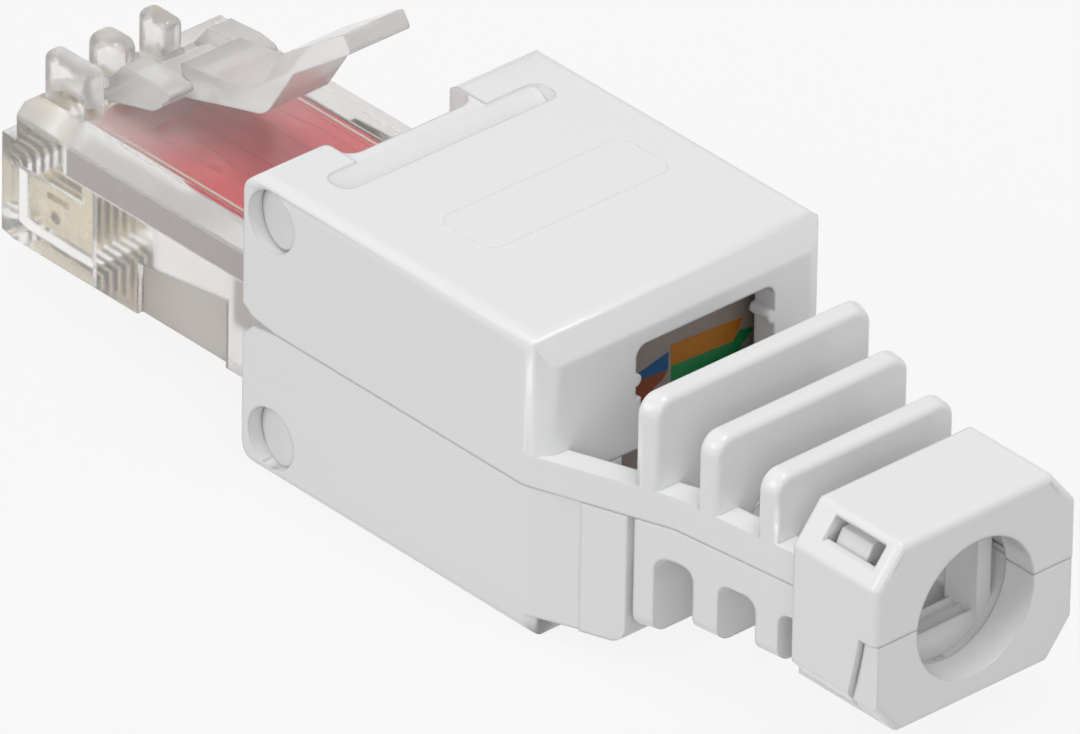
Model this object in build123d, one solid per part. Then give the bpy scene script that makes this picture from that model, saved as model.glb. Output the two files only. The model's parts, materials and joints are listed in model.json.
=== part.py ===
"""Tool-free ethernet plug for field termination.

X runs across the plug, Y from the nose towards the cable, Z up. While it is being drawn, Y = 0 is the
front face of the housing and Z = 0 its underside; at the end every piece moves along Y, so that the
origin is under the middle of the whole plug.
"""

import os
from math import cos, radians, sin, sqrt, tan

from build123d import *

# Clearances between neighbours, and how far forms of one piece run into each other
touch_gap = 0.01
sink = 0.3
seam = 0.04
plug_clearance = 0.06
plug_side_clearance = 0.09
cheek_clearance = 0.15
floor_clearance = 0.15
pin_clearance = 0.06
pocket_clearance = 0.13
ear_clearance = 0.12
knuckle_clearance = 0.45

# Clear plug body
plug_half_width = 5.84
plug_height = 6.58
plug_reach = 17.57
plug_depth = 4.3
plug_bevel = 0.45
nose_step_length = 0.92
nose_step_drop = 1.7
nose_chamfer_y = 0.77
nose_chamfer_z = 0.16
nose_fins = [(3.45, 4.57, 3.0), (0.75, 2.26, 1.95), (-1.7, -0.6, 1.95)]
nose_fin_setback = 0.97
nose_fin_height = 2.25
nose_fin_softness = 0.4
plug_groove_y = 2.6
plug_groove_length = 0.8
plug_groove_depth = 0.35
plug_groove_cover = 1.2
side_recess_start = 8.62
side_recess_length = 5.55
side_recess_depth = 0.3
side_recess_heights = (2.47, 3.26)

# Circuit board and the cavity in the plug body that it sits in
board_thickness = 1.0
board_rise = 5.83
board_half_width = 4.1
board_side_clearance = 0.06
board_setback = 3.12
board_front_clearance = 0.15
board_wide_margin = 0.63
board_wide_start = 0.45
board_tail = 4.9
cavity_headroom = 0.13
cavity_depth = 1.0

# Contacts
contact_pitch = 1.02
contact_count = 8
contact_thickness = 0.35
contact_slot = 0.47
contact_setback = 0.57
contact_length = 4.05
contact_rise = 0.6
contact_height = 2.08
contact_stem_width = 0.55
contact_corner = 0.35
contact_hole_radius = 0.3
contact_slit = (0.9, 0.5, 0.32)

# Locking lever; the legs of its bent tail are (length, angle) of their middle line
latch_pivot_setback = 3.32
latch_pivot_rise = 0.5
latch_root_radius = 0.27
latch_root_clearance = 0.05
latch_seat_front = 0.36
latch_seat_rear = 0.15
latch_half_width = 3.0
latch_shoulder_width = 1.3
latch_tail_half_width = 1.625
latch_slope = 15.3
latch_tail_start = (3.25, 1.62)
latch_legs = [(4.98, 13.3), (3.15, 57.3), (4.48, 35.7)]
latch_thicknesses = [1.5, 1.1, 0.98, 0.88]
latch_knee_radius = 1.5
latch_brow_radius = 0.7
latch_tip_radius = 0.2
shoulder_end = (4.21, 1.77)
shoulder_crown = (2.85, 1.94)
shoulder_front = (0.95, 1.79)
shoulder_foot = (0.15, 0.78)
shoulder_radius = 0.25
plate_reach = 2.96
plate_lip = (0.6, 0.5)
plate_crown = (1.15, 1.2)

# Carrier frame that joins plug, blocks and shells
cheek_wall = 0.62
pan_thickness = 0.71
carrier_setback = 0.9
carrier_shoulder = 1.35
carrier_headroom = 1.28
carrier_tail = 0.3
cheek_tip_radius = 1.25
pivot_hole_radius = 1.4
pin_recess = 0.12
pin_ramp = 0.6
bulkhead_front_y = 0.6
bulkhead_thickness = 1.05
bulkhead_headroom = 0.63
shelf_thickness = 1.1

# Terminal blocks and their forked terminals
block_start = 0.2
block_length = 6.2
block_height = 3.1
block_side_clearance = 0.13
block_seat = 0.02
wires_per_level = 4
wire_pitch = 2.5
wire_channel = 1.3
wire_channel_floor = 1.0
terminal_width = 1.8
terminal_thickness = 0.4
terminal_height = 2.7
terminal_slit = 0.34
terminal_slit_depth = 1.7
terminal_lead_in = (0.5, 0.6)
terminal_rows = (1.8, 3.6)
terminal_tail_width = 0.5
terminal_tail_share = 0.8
terminal_hole_radius = 0.4
terminal_clearance = 0.06

# Wire manager and its label
manager_gap = 0.15
sleeve_length = 3.85
sleeve_wall = 0.9
sleeve_margin = 0.8
sleeve_row_margin = 0.25
plate_thickness = 1.2
plate_side_margin = 0.3
plate_top_margin = 0.38
plate_bottom_margin = 0.4
plate_radius = 0.8
wire_row_offset = 3.95
wire_hole_radius = 0.6
label_thickness = 0.12
label_half_width = 5.85
label_reach = 3.25
label_radius = 0.3
label_room = 0.8

# Housing: two shells round the carrier, the blocks and the wire manager
parting_height = 7.07
side_wall = 1.23
roof_wall = 1.2
rear_wall = 1.2
wire_room = 1.81
edge_radius = 0.65
rear_corner_radius = 1.2
rear_foot_radius = 0.5
rear_facet_length = 0.74
rear_facet_drop = 1.38
rear_facet_radius = 0.45
front_top_radius = 1.0
front_bottom_radius = 1.25
corner_cut_up = [(0, 0.63), (0.62, 0.21), (2.04, 0)]
corner_cut_down = [(0, 0.82), (0.62, 0.21), (2.04, 0)]

# Pivots of the two shells
upper_pivot_y = 1.7
upper_pivot_drop = 1.73
lower_pivot_y = 1.8
lower_pivot_rise = 1.96
knuckle_radius = 1.72

# Front edge of the roof: two ears, a lip set back between them and a finger groove behind it
near_ear_width = 3.93
far_ear_width = 4.83
ear_corner_radius = 0.4
lip_corner_radius = 0.85
lip_setback = 1.9
lip_width = 0.6
lip_drop = 0.1
groove_half_width = 5.9
groove_depth = 1.1
groove_length = 1.5
groove_slope = 42
groove_rear_lean = 0.2
groove_end_radius = 0.6
groove_backing = 1.1

# Rear window over the wiring label
window_right = 2.7
window_left = 4.9
window_headroom = 0.88
window_over_cable = 2.7
window_radius = 0.55
window_nib = 0.3
window_nib_rise = 0.9
wall_passage_half_width = 2.4

# Cable passage and strain relief; places along it are measured from the housing's rear face
cable_z = 6.8
cable_radius = 3.4
channel_half_width = 3.5
rail_thickness = 1.25
relief_bend = 0.9
relief_bend_radius = 2.0
relief_knee = 5.56
relief_knee_half_width = 5.54
relief_end_inset = 0.87
upper_rail_height = 1.5
lower_rail_height = 1.52
fin_thickness = 1.05
fin_steps = [3.7, 6.65, 9.8]
fin_drops = [1.24, 1.93, 2.4]
fin_radius = 0.9
fin_edge_radius = 0.3
rib_spans = [(3.85, 4.73), (6.6, 7.92), (9.9, 11.1)]
rib_bottoms = [1.8, 2.65, 3.05]
rib_radius = 0.7
arch_radius = 0.6
heel_step = 1.55
heel_length = 3.55
heel_bottom = 0.9
heel_inset = 0.14
heel_wall = 0.9
flex_slot_depth = 0.6

# Collar at the end of the strain relief; places in it are measured from its front face and the cable
collar_start = 12.65
collar_length = 4.88
collar_half_width = 5.52
collar_down = 4.28
collar_up = 4.68
collar_chamfer_x = 1.4
collar_chamfer_z = 1.74
collar_edge_radius = 0.35
mouth_radius = 3.2
mouth_length = 1.7
skirt_inner = 4.3
skirt_end_step = 0.93
skirt_gap = 0.13
ring_inset = 0.22
pad_clearance = 0.15
rail_swing_gap = 0.55
catch_window_span = (1.15, 4.15)
catch_window_rise = (3.5, 4.4)
catch_arm_span = (1.35, 3.2)
catch_arm_rise = 3.9
catch_arm_thickness = 0.7
catch_arm_gap = 0.2
catch_hook = 0.45
catch_hook_height = 0.8
catch_side_gap = 0.1
hook_side_gap = 0.15
jaw_span = (0.75, 2.65)
jaw_tooth_count = 3
jaw_tooth_lean = 0.7
upper_jaw_half_width = 1.3
upper_jaw_reach = 1.5
upper_jaw_depth = 0.7
lower_jaw_rise = 1.0
lower_jaw_ridge = 0.25
jaw_leg_span = (2.15, 2.95)
jaw_leg_rise = 1.0

cheek_inner = plug_half_width + plug_side_clearance
cheek_outer = cheek_inner + cheek_wall
inner_half_width = cheek_outer + cheek_clearance
half_width = inner_half_width + side_wall

floor_top = roof_wall
carrier_low = floor_top + floor_clearance
plug_bottom = carrier_low + pan_thickness + plug_clearance
plug_top = plug_bottom + plug_height
board_top = plug_bottom + board_rise
board_bottom = board_top - board_thickness
board_mid_z = board_top - board_thickness / 2
block_low = board_top + block_seat
ceiling = block_low + block_height + wire_room
shell_height = ceiling + roof_wall
upper_pivot_z = shell_height - upper_pivot_drop
lower_pivot_z = lower_pivot_rise
upper_face = parting_height + seam / 2
lower_face = parting_height - seam / 2

nose_y = -plug_reach
plug_rear_y = plug_depth
block_front_y = plug_rear_y + block_start
block_rear_y = block_front_y + block_length
carrier_rear_y = block_rear_y + carrier_tail
manager_front_y = carrier_rear_y + manager_gap
manager_plate_y = manager_front_y + sleeve_length
manager_rear_y = manager_plate_y + plate_thickness
inner_rear_y = manager_rear_y + label_room
shell_length = inner_rear_y + rear_wall
relief_bend_y = shell_length - relief_bend
relief_knee_y = shell_length + relief_knee
heel_step_y = shell_length + heel_step
heel_end_y = shell_length + heel_length
collar_front_y = shell_length + collar_start
collar_end_y = collar_front_y + collar_length
relief_end_half_width = collar_half_width - relief_end_inset
collar_bottom = cable_z - collar_down
collar_top = cable_z + collar_up
pad_half = skirt_inner - pad_clearance
groove_end_y = lip_setback + lip_width + groove_length
near_ear_edge = half_width - near_ear_width
far_ear_edge = -half_width + far_ear_width
knuckle_end = cheek_inner - pocket_clearance
latch_pivot_y = nose_y + latch_pivot_setback
latch_pivot_z = plug_top + latch_pivot_rise
board_front_y = nose_y + board_setback
board_rear_y = plug_rear_y + board_tail
contact_front_y = nose_y + contact_setback
contact_rear_y = contact_front_y + contact_length
contact_bottom = plug_bottom + contact_rise
contact_top = contact_bottom + contact_height
whole_shift = -(nose_y + collar_end_y) / 2
far = 2 * (plug_reach + collar_end_y)


def block(x, y, z):
    """Box between two values along each axis."""
    size = [high - low for low, high in (x, y, z)]
    return Pos(x[0], y[0], z[0]) * Box(*size, align=(Align.MIN, Align.MIN, Align.MIN))


def outline(*points):
    """Closed flat shape through the points."""
    return make_face(Polyline(*points, close=True))


def rounded(shape, radius, *places):
    """Rounds the corners of a flat shape that are nearest to the places."""
    corners = [shape.vertices().sort_by_distance((u, v, 0))[0] for u, v in places]
    return fillet(corners, radius)


def across(shape, low, high):
    """Shape drawn in (Y, Z), carried from one X to another."""
    return extrude(Plane.YZ.offset(low) * shape, high - low)


def along(shape, low, high):
    """Shape drawn in (X, Z), carried from one Y to another."""
    return extrude(Plane.XZ.offset(-high) * shape, high - low)


def upward(shape, low, high):
    """Shape drawn in (X, Y), carried from one Z to another."""
    return extrude(Plane.XY.offset(low) * shape, high - low)


def disc(u, v, radius):
    return Pos(u, v) * Circle(radius)


def rectangle(u, v):
    """Flat rectangle between two values each way."""
    middle = Pos((u[0] + u[1]) / 2, (v[0] + v[1]) / 2)
    return middle * Rectangle(u[1] - u[0], v[1] - v[0])


def both_sides(solid):
    """The solid and its mirror image across the middle plane."""
    return solid + mirror(solid, Plane.YZ)


def symmetric(points):
    """Closed flat shape through the points and their mirror images across the middle line."""
    return outline(*points, *[(-x, y) for x, y in reversed(points)])


def placed(start, offsets):
    """Offsets counted from a start."""
    return [start + offset for offset in offsets]


def upper_pivot_disc(radius):
    return disc(upper_pivot_y, upper_pivot_z, radius)


def pivot_reach(y, z):
    """Distance of a point from the upper pivot."""
    return sqrt((y - upper_pivot_y) ** 2 + (z - upper_pivot_z) ** 2)


def relief_half_width(y):
    """Half width of the strain relief, which narrows in two straight stretches."""
    if y < relief_knee_y:
        share = (y - relief_bend_y) / (relief_knee_y - relief_bend_y)
        return half_width + share * (relief_knee_half_width - half_width)
    share = (y - relief_knee_y) / (collar_front_y - relief_knee_y)
    return relief_knee_half_width + share * (relief_end_half_width - relief_knee_half_width)


def relief_plan(front, rear):
    """Strain relief seen from above, where it bends off the side walls and narrows to the collar."""
    right = [(half_width, relief_bend_y - relief_bend_radius), (half_width, relief_bend_y)]
    right += [(relief_half_width(y), y) for y in (relief_knee_y, collar_front_y)]
    plan = symmetric(right)
    plan = rounded(plan, relief_bend_radius, (half_width, relief_bend_y), (-half_width, relief_bend_y))
    return plan & rectangle((-half_width, half_width), (front, rear))


def passage_plan(rear):
    """Room between the rails seen from above, which leaves the rails equally thick."""
    right = []
    for y in (shell_length, relief_knee_y, rear):
        right.append((max(relief_half_width(y) - rail_thickness, channel_half_width), y))
    return symmetric(right)


def cable_bore(front, rear):
    return along(disc(0, cable_z, cable_radius), front, rear)


def mouth_bore():
    """Cable passage with its narrower end in the collar."""
    mouth_front = collar_end_y - mouth_length
    narrow = along(disc(0, cable_z, mouth_radius), mouth_front - touch_gap, far)
    return cable_bore(0, mouth_front) + narrow


def collar_section():
    """Octagonal section of the collar."""
    low, high, wide = collar_bottom, collar_top, collar_half_width
    flat = wide - collar_chamfer_x
    right = [
        (flat, low),
        (wide, low + collar_chamfer_z),
        (wide, high - collar_chamfer_z),
        (flat, high),
    ]
    return symmetric(right)


def collar_prism(front):
    """Whole collar, soft along its length and round its end."""
    solid = along(collar_section(), front, collar_end_y)
    end_edges = solid.faces().sort_by(Axis.Y)[-1].edges()
    return fillet(solid.edges().filter_by(Axis.Y) + end_edges, collar_edge_radius)


def rails(low, high):
    """Two rails beside the cable, from the side walls of the housing to the collar."""
    plan = relief_plan(inner_rear_y, collar_front_y) - passage_plan(collar_front_y)
    return upward(plan, low, high)


def cross_wall(front, rear, root, edge, radius):
    """Wall across the strain relief, as wide as the relief at both its faces, with two round corners."""
    faces = []
    for y in (front, rear):
        wide = relief_half_width(y)
        section = rectangle((-wide, wide), (min(root, edge), max(root, edge)))
        section = rounded(section, radius, (wide, edge), (-wide, edge))
        faces.append(Plane.XZ.offset(-y) * section)
    return loft(faces, ruled=True)


def casing(profile, section, low, high):
    """Shell block: side profile, section across it and plan, cut to one another."""
    plan = rectangle((-half_width, half_width), (-1, shell_length))
    plan = rounded(plan, rear_corner_radius, (half_width, shell_length), (-half_width, shell_length))
    solid = across(profile, -half_width, half_width) & along(section, -1, shell_length)
    return solid & upward(plan, low, high)


def upper_casing():
    facet_front = shell_length - rear_facet_length
    facet = [(shell_length, shell_height - rear_facet_drop), (facet_front, shell_height)]
    profile = outline(
        *[(y, upper_face + rise) for y, rise in corner_cut_up],
        (shell_length, upper_face),
        *facet,
        (0, shell_height),
    )
    profile = rounded(profile, front_top_radius, (0, shell_height))
    profile = rounded(profile, rear_facet_radius, *facet)
    section = rectangle((-half_width, half_width), (upper_face, shell_height))
    section = rounded(section, edge_radius, (half_width, shell_height), (-half_width, shell_height))
    return casing(profile, section, upper_face, shell_height)


def lower_casing():
    profile = outline(
        (0, 0),
        (shell_length, 0),
        (shell_length, lower_face),
        *[(y, lower_face - drop) for y, drop in reversed(corner_cut_down)],
    )
    profile = rounded(profile, front_bottom_radius, (0, 0))
    profile = rounded(profile, rear_foot_radius, (shell_length, 0))
    section = rectangle((-half_width, half_width), (0, lower_face))
    section = rounded(section, edge_radius, (half_width, 0), (-half_width, 0))
    return casing(profile, section, 0, lower_face)


def pivot_cut(y, z):
    """Pin holes through both side walls, and the round pockets inside them for the carrier's tips."""
    holes = across(disc(y, z, pivot_hole_radius), inner_half_width - touch_gap, far)
    pockets = across(disc(y, z, cheek_tip_radius + pocket_clearance), knuckle_end, inner_half_width)
    return both_sides(holes + pockets)


def ear_gap():
    """Room between the two ears, with soft corners at the ears and at the lip."""
    plan = outline(
        (far_ear_edge - ear_corner_radius, -1),
        (far_ear_edge - ear_corner_radius, 0),
        (far_ear_edge, 0),
        (far_ear_edge, lip_setback),
        (near_ear_edge, lip_setback),
        (near_ear_edge, 0),
        (near_ear_edge + ear_corner_radius, 0),
        (near_ear_edge + ear_corner_radius, -1),
    )
    plan = rounded(plan, lip_corner_radius, (far_ear_edge, lip_setback), (near_ear_edge, lip_setback))
    plan = rounded(plan, ear_corner_radius - touch_gap, (far_ear_edge, 0), (near_ear_edge, 0))
    return upward(plan, 0, far)


def finger_groove():
    """Groove across the roof with round ends, rising at its front to the lip."""
    front = lip_setback + lip_width
    bottom = shell_height - groove_depth
    run = (shell_height - lip_drop - bottom) / tan(radians(groove_slope))
    profile = outline(
        (front, far),
        (front, shell_height - lip_drop),
        (front + run, bottom),
        (groove_end_y - groove_rear_lean, bottom),
        (groove_end_y, shell_height),
        (groove_end_y, far),
    )
    plan = rectangle((-groove_half_width, groove_half_width), (front, groove_end_y))
    plan = fillet(plan.vertices(), groove_end_radius)
    return across(profile, -groove_half_width, groove_half_width) & upward(plan, 0, far)


def lip_relief():
    """Thin layer taken off the roof over the lip."""
    plan = rectangle((far_ear_edge, near_ear_edge), (0, lip_setback + lip_width))
    return upward(plan, shell_height - lip_drop, far)


def rear_window():
    """Opening in the rear wall with two small nibs, which runs down into the cable passage."""
    low = cable_z + window_over_cable
    high = ceiling - window_headroom
    shape = rectangle((-window_left, window_right), (low, high))
    shape = rounded(shape, window_radius, (-window_left, high), (window_right, high))
    for x in (-window_left, window_right):
        shape -= disc(x, low + window_nib_rise, window_nib)
    shape += rectangle((-wall_passage_half_width, wall_passage_half_width), (0, low + touch_gap))
    return along(shape, manager_rear_y, shell_length + touch_gap)


def fin(front, top):
    """Cross fin of the upper half, soft along its free edges."""
    solid = cross_wall(front, front + fin_thickness, upper_face, top, fin_radius)
    rail_top = upper_face + upper_rail_height
    edges = []
    for edge in solid.edges():
        box = edge.bounding_box()
        if box.size.Y < touch_gap and box.max.Z > rail_top:
            edges.append(edge)
    return fillet(edges, fin_edge_radius)


def skirt_swing_radius():
    """Reach of the skirts' rear edge from the upper pivot."""
    return pivot_reach(collar_end_y - skirt_end_step, upper_face)


def upper_collar():
    """Upper half of the collar with its skirts, catch windows and the jaw that bites the cable."""
    whole = collar_prism(collar_front_y)
    top = whole & block((-far, far), (0, far), (upper_face, far))
    skirts = whole & across(upper_pivot_disc(skirt_swing_radius()), -far, far)
    skirts -= block((-skirt_inner, skirt_inner), (0, far), (0, far))
    collar = top + skirts - mouth_bore()
    slot_side = (pad_half - catch_arm_thickness - catch_side_gap, pad_half + catch_hook + hook_side_gap)
    window_y = placed(collar_front_y, catch_window_span)
    window_z = placed(cable_z, catch_window_rise)
    arm_reach = pivot_reach(collar_front_y + catch_arm_span[0], cable_z + catch_arm_rise)
    slots = block(slot_side, (0, window_y[1]), (0, window_z[1] - catch_hook_height))
    slots -= across(upper_pivot_disc(arm_reach - catch_arm_gap), 0, far)
    windows = block((slot_side[0], far), window_y, window_z)
    collar -= both_sides(slots + windows)
    return collar + upper_jaw()


def upper_jaw():
    """Row of wedge teeth that hangs from the top of the bore."""
    base = cable_z + cable_radius + sink
    crest = cable_z + cable_radius - upper_jaw_reach
    valley = crest + upper_jaw_depth
    front, rear = placed(collar_front_y, jaw_span)
    pitch = (rear - front) / jaw_tooth_count
    points = [(front, base)]
    for tooth in range(jaw_tooth_count):
        start = front + tooth * pitch
        points += [(start, valley), (start + pitch * jaw_tooth_lean, crest)]
    points += [(rear, valley), (rear, base)]
    return across(outline(*points), -upper_jaw_half_width, upper_jaw_half_width)


def upper_shell():
    shell = upper_casing()
    shell -= block((-inner_half_width, inner_half_width), (-1, inner_rear_y), (0, ceiling))
    knuckle = upper_pivot_disc(knuckle_radius) & rectangle((0, far), (0, shell_height - touch_gap))
    shell += across(knuckle, near_ear_edge, knuckle_end) + across(knuckle, -knuckle_end, far_ear_edge)
    backing_low = ceiling - groove_backing
    backing_end = groove_end_y + groove_backing / 2
    tip_rear = upper_pivot_y + cheek_tip_radius + 2 * pocket_clearance
    shell += block((-knuckle_end, knuckle_end), (lip_setback, backing_end), (backing_low, ceiling))
    shell += block((-inner_half_width, inner_half_width), (tip_rear, backing_end), (backing_low, ceiling))
    shell -= ear_gap() + lip_relief() + finger_groove()
    shell -= pivot_cut(upper_pivot_y, upper_pivot_z)
    shell += rails(upper_face, upper_face + upper_rail_height)
    for step, drop in zip(fin_steps, fin_drops):
        shell += fin(shell_length + step, shell_height - drop)
    shell -= cable_bore(shell_length, collar_front_y) + rear_window()
    return shell + upper_collar()


def rib_gap(front, rear):
    """Arched gap under the lower rails, between two ribs."""
    top = lower_face - lower_rail_height
    gap = rectangle((front, rear), (-1, top))
    return across(rounded(gap, arch_radius, (front, top), (rear, top)), -far, far)


def lower_rails():
    """Rails of the lower half, arched between the ribs."""
    band = rails(lower_face - lower_rail_height - arch_radius, lower_face)
    fronts = [heel_length] + [rear for front, rear in rib_spans]
    rears = [front for front, rear in rib_spans] + [collar_start]
    for front, rear in zip(fronts, rears):
        if rear - front > 2 * arch_radius:
            band -= rib_gap(shell_length + front, shell_length + rear)
    return band


def heel():
    """Deep, hollow first rib behind the rear wall."""
    profile = rectangle((inner_rear_y, heel_end_y), (heel_bottom, lower_face))
    profile = rounded(profile, rib_radius, (heel_end_y, heel_bottom))
    solid = upward(relief_plan(inner_rear_y, heel_end_y), heel_bottom, lower_face)
    solid &= across(profile, -far, far)
    room = upward(passage_plan(collar_front_y), heel_bottom + heel_wall, far)
    return solid - (room & block((-far, far), (0, heel_end_y - heel_wall), (0, far)))


def heel_step_cut():
    """Cut that sets the front part of the heel back from its rear part."""
    inset = relief_half_width(heel_step_y) - heel_inset
    outside = [(far, relief_bend_y), (far, heel_step_y)]
    cut = outline((half_width, relief_bend_y), *outside, (inset, heel_step_y))
    return upward(cut, -1, lower_face)


def lower_collar():
    """Lower half of the collar: pad between the skirts, end ring and two catch arms."""
    pad = collar_prism(collar_front_y - 1)
    pad &= block((-pad_half, pad_half), (0, far), (0, lower_face))
    ring_half = collar_half_width - ring_inset
    ring = collar_prism(collar_front_y)
    ring &= block((-ring_half, ring_half), (0, far), (0, lower_face))
    ring -= across(upper_pivot_disc(skirt_swing_radius() + skirt_gap), -far, far)
    arm_top = cable_z + catch_arm_rise
    hook_low = arm_top - catch_hook_height
    arm_root = lower_face - sink
    arm = outline(
        (pad_half - catch_arm_thickness, arm_root),
        (pad_half, arm_root),
        (pad_half, hook_low),
        (pad_half + catch_hook, hook_low),
        (pad_half, arm_top),
        (pad_half - catch_arm_thickness, arm_top),
    )
    arms = both_sides(along(arm, *placed(collar_front_y, catch_arm_span)))
    return pad + ring - mouth_bore() + arms + lower_jaw()


def lower_jaw():
    """Ridged floor under the cable, with a leg on each side of it."""
    bottom = cable_z - cable_radius
    top = bottom + lower_jaw_rise
    front, rear = placed(collar_front_y, jaw_span)
    pitch = (rear - front) / jaw_tooth_count
    points = [(front, bottom - sink)]
    for tooth in range(jaw_tooth_count):
        start = front + tooth * pitch
        points += [(start, top), (start + pitch / 2, top + lower_jaw_ridge)]
    points += [(rear, top), (rear, bottom - sink)]
    floor_half = jaw_leg_span[0] + touch_gap
    floor = across(outline(*points), -floor_half, floor_half)
    leg = block(jaw_leg_span, (front, rear), (bottom, parting_height + jaw_leg_rise))
    return floor + both_sides(leg)


def lower_shell():
    shell = lower_casing()
    shell -= block((-inner_half_width, inner_half_width), (-1, inner_rear_y), (floor_top, far))
    ear_inner = plug_half_width + ear_clearance
    shell -= block((-ear_inner, ear_inner), (-1, lip_setback), (-1, far))
    shell -= pivot_cut(lower_pivot_y, lower_pivot_z)
    shell += lower_rails() + heel()
    for (front, rear), bottom in zip(rib_spans, rib_bottoms):
        shell += cross_wall(shell_length + front, shell_length + rear, lower_face, bottom, rib_radius)
    slot_inner = relief_half_width(heel_end_y) - flex_slot_depth
    slot = block((slot_inner, far), (heel_end_y, shell_length + rib_spans[0][0]), (0, far))
    rail_end = block((pad_half, far), (collar_front_y - rail_swing_gap, far), (0, far))
    shell -= both_sides(slot + rail_end + heel_step_cut())
    shell -= cable_bore(inner_rear_y - 1, collar_front_y)
    return shell + lower_collar()


def plug_section():
    """Section of the plug body, with its two top edges bevelled."""
    section = rectangle((-plug_half_width, plug_half_width), (plug_bottom, plug_top))
    corners = [
        section.vertices().sort_by_distance((x, plug_top, 0))[0]
        for x in (plug_half_width, -plug_half_width)
    ]
    return chamfer(corners, plug_bevel)


def contact_places():
    """Middle of each contact across the plug, from the far side to the near one."""
    first = -(contact_count - 1) / 2
    return [(first + number) * contact_pitch for number in range(contact_count)]


def plug_profile():
    """Plug body seen from the side: stepped nose and level back."""
    return outline(
        (nose_y, plug_bottom + nose_chamfer_z),
        (nose_y + nose_chamfer_y, plug_bottom),
        (plug_rear_y, plug_bottom),
        (plug_rear_y, plug_top),
        (nose_y + nose_step_length, plug_top),
        (nose_y + nose_step_length, plug_top - nose_step_drop),
        (nose_y, plug_top - nose_step_drop),
    )


def nose_fin(low, high, length):
    """Guard rib on the nose, soft all round."""
    front = nose_y + nose_fin_setback
    base = plug_top - sink
    solid = block((low, high), (front, front + length), (base, plug_top + nose_fin_height))
    edges = [edge for edge in solid.edges() if edge.center().Z > base + touch_gap]
    return fillet(edges, (high - low) * nose_fin_softness)


def latch_seat():
    """Low bed on the plug body that carries the root of the locking lever."""
    seat = rectangle(
        (latch_pivot_y - latch_seat_front, latch_pivot_y + latch_seat_rear),
        (plug_top - sink, latch_pivot_z),
    )
    seat -= disc(latch_pivot_y, latch_pivot_z, latch_root_radius + latch_root_clearance)
    return across(seat, -latch_half_width, latch_half_width)


def side_recess():
    """Shallow recess in the side of the plug body, open at the bottom."""
    front = nose_y + side_recess_start
    rear = front + side_recess_length
    front_height, rear_height = placed(plug_bottom, side_recess_heights)
    shape = outline((front, 0), (rear, 0), (rear, rear_height), (front, front_height))
    return across(shape, plug_half_width - side_recess_depth, far)


def plug_body():
    body = along(plug_section(), nose_y, plug_rear_y) & across(plug_profile(), -far, far)
    cavity_half = board_half_width + board_side_clearance
    cavity_bottom = board_bottom - cavity_depth
    body -= block(
        (-cavity_half, cavity_half),
        (board_front_y - board_front_clearance, far),
        (cavity_bottom, board_top + cavity_headroom),
    )
    clear = (contact_slot - contact_thickness) / 2
    stem = (contact_rear_y - contact_stem_width - clear, contact_rear_y + clear)
    for x in contact_places():
        side = (x - contact_slot / 2, x + contact_slot / 2)
        body -= block(side, (nose_y - 1, stem[1]), (0, contact_top + clear))
        body -= block(side, stem, (contact_top, cavity_bottom + clear))
    groove_x = (plug_half_width - plug_groove_depth, far)
    groove_y = (plug_groove_y, plug_groove_y + plug_groove_length)
    body -= both_sides(block(groove_x, groove_y, (0, plug_top - plug_groove_cover)))
    body -= both_sides(side_recess())
    for low, high, length in nose_fins:
        body += nose_fin(low, high, length)
    return body + latch_seat()


def latch_underside(y):
    """Height of the lever's straight underside."""
    return latch_pivot_z - latch_root_radius + (y - latch_pivot_y) * tan(radians(latch_slope))


def from_latch_pivot(offset):
    return (latch_pivot_y + offset[0], latch_pivot_z + offset[1])


def bent_tail():
    """Tail of the lever: a strip bent up twice, with its thickness given at every joint."""
    points = [from_latch_pivot(latch_tail_start)]
    for length, angle in latch_legs:
        y, z = points[-1]
        points.append((y + length * cos(radians(angle)), z + length * sin(radians(angle))))
    angles = [angle for length, angle in latch_legs]
    turns = [angles[0]] + [(a + b) / 2 for a, b in zip(angles, angles[1:])] + [angles[-1]]
    upper = []
    lower = []
    for (y, z), turn, thickness in zip(points, turns, latch_thicknesses):
        side_y = -sin(radians(turn)) * thickness / 2
        side_z = cos(radians(turn)) * thickness / 2
        upper.append((y + side_y, z + side_z))
        lower.append((y - side_y, z - side_z))
    strip = outline(*upper, *reversed(lower))
    strip = rounded(strip, latch_knee_radius, upper[1], lower[1])
    strip = rounded(strip, latch_brow_radius, upper[2], lower[2])
    return rounded(strip, latch_tip_radius, upper[3], lower[3])


def latch_lever():
    """Locking lever: root, wide plate with two shoulders, and the tail with its raised thumb plate."""
    root = disc(latch_pivot_y, latch_pivot_z, latch_root_radius)
    start = latch_pivot_y + latch_root_radius / 2
    foot_y = latch_pivot_y + plate_reach
    foot_z = latch_underside(foot_y)
    plate = outline(
        (start, latch_underside(start)),
        (foot_y, foot_z),
        (foot_y + plate_lip[0], foot_z + plate_lip[1]),
        from_latch_pivot(plate_crown),
        from_latch_pivot(shoulder_foot),
        (start, latch_pivot_z),
    )
    shoulder = outline(
        (start + touch_gap, latch_underside(start + touch_gap)),
        (foot_y, foot_z),
        from_latch_pivot(shoulder_end),
        from_latch_pivot(shoulder_crown),
        from_latch_pivot(shoulder_front),
        from_latch_pivot(shoulder_foot),
    )
    shoulder = rounded(shoulder, shoulder_radius, from_latch_pivot(shoulder_end))
    root_half = latch_half_width - latch_root_clearance
    lever = across(root, -root_half, root_half) + across(plate, -latch_half_width, latch_half_width)
    lever += both_sides(across(shoulder, latch_half_width - latch_shoulder_width, latch_half_width))
    return lever + across(bent_tail(), -latch_tail_half_width, latch_tail_half_width)


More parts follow.
